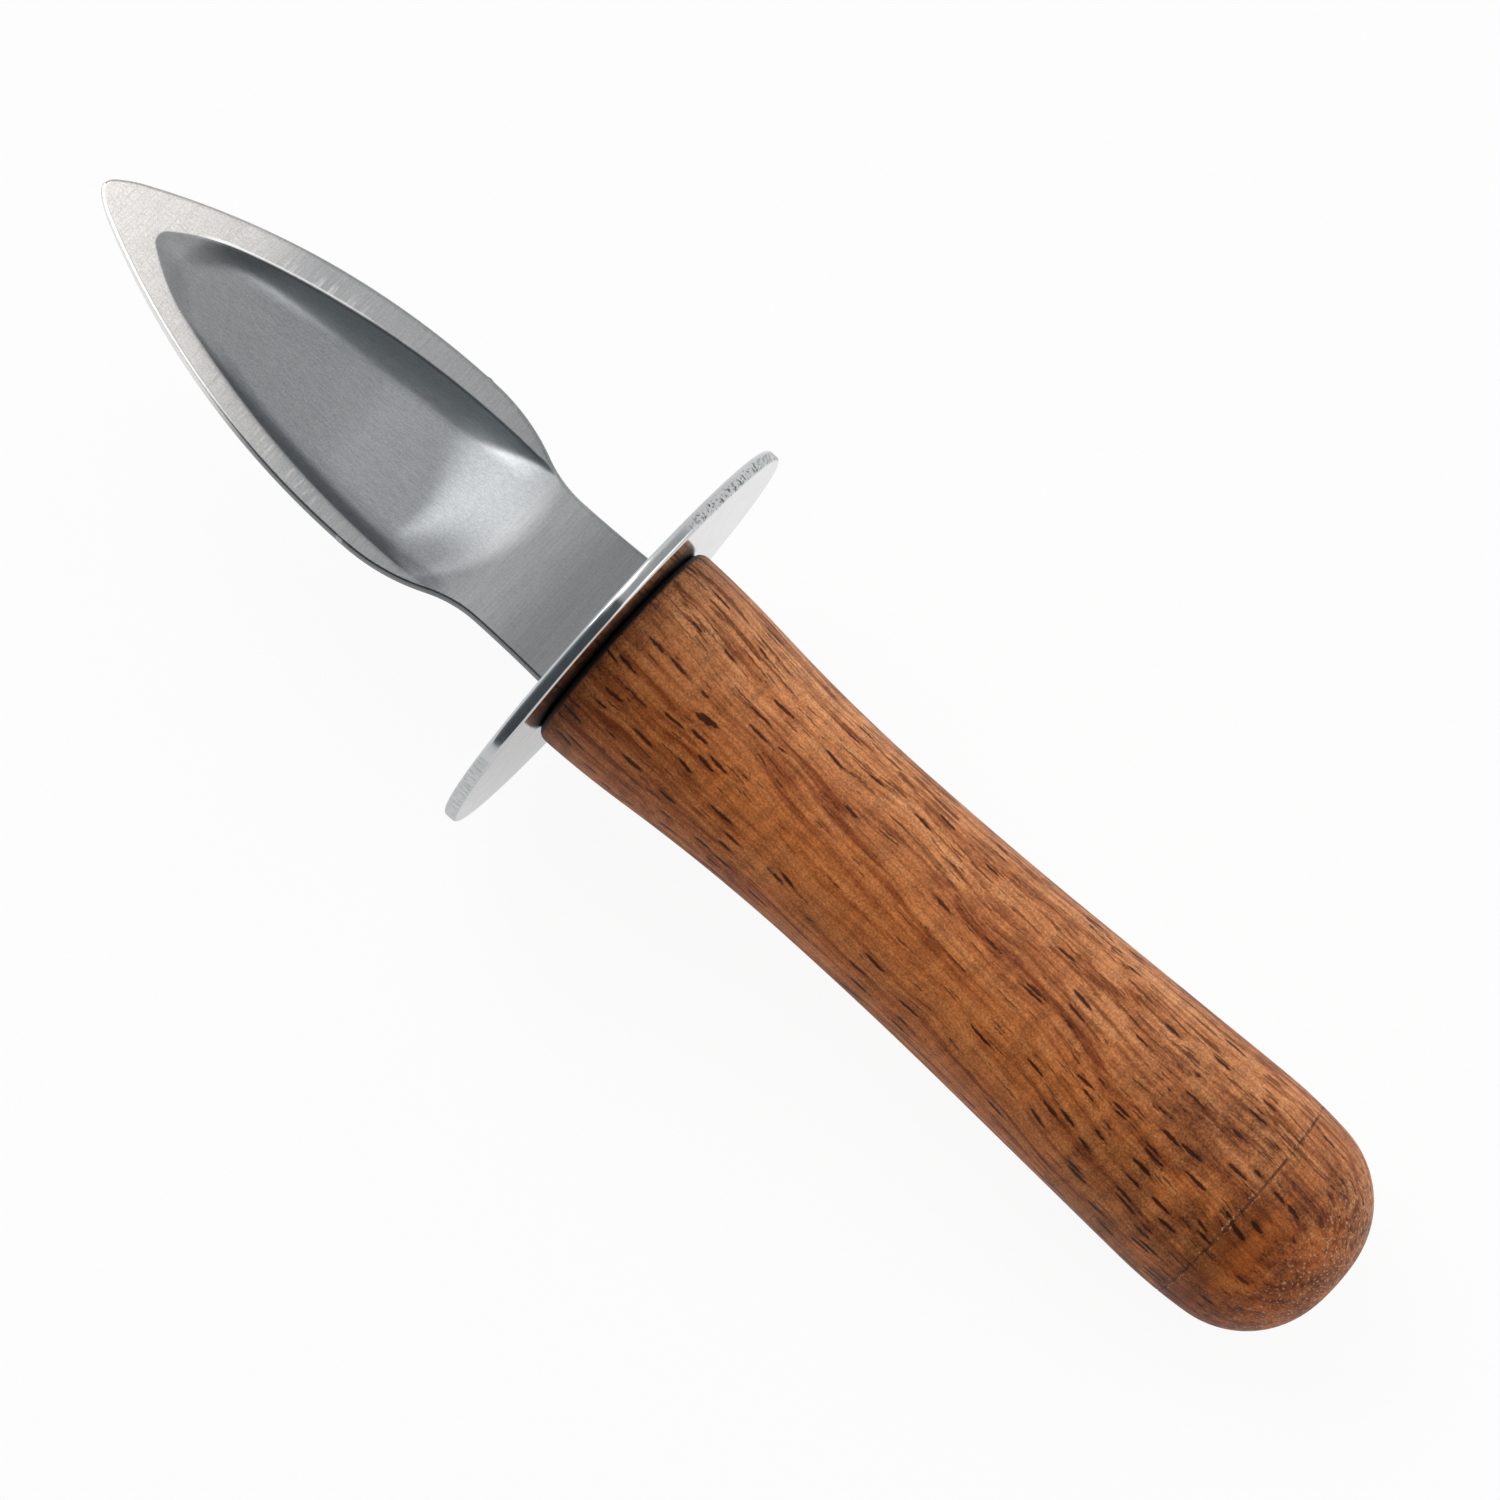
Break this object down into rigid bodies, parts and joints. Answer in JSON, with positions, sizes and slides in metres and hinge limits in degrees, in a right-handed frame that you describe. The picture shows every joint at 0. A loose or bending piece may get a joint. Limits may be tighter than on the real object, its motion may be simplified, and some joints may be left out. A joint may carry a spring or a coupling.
{
  "type": "oyster knife",
  "caption": "Oyster knife: short spear-shaped steel blade with a pressed hollow, a round disc hand guard and a turned wooden handle.",
  "frame": {"origin": "centre of the guard disc, on the knife's axis, halfway through the disc's thickness", "axes": "+X runs along the knife towards the tip, +Y runs across the blade, +Z comes out of the hollow side of the blade"},
  "size_m": [0.1655, 0.0488, 0.0488],
  "materials": {
    "blade": "satin stainless sheet",
    "guard": "polished stainless sheet, sheared rim",
    "handle": "turned open-pored hardwood, thin satin lacquer",
    "tang_resin": "set resin"
  },
  "bodies": {
    "root": {"blade": "blade", "guard": "guard", "handle": "handle", "tang_resin": "tang_resin"}
  },
  "joints": []
}
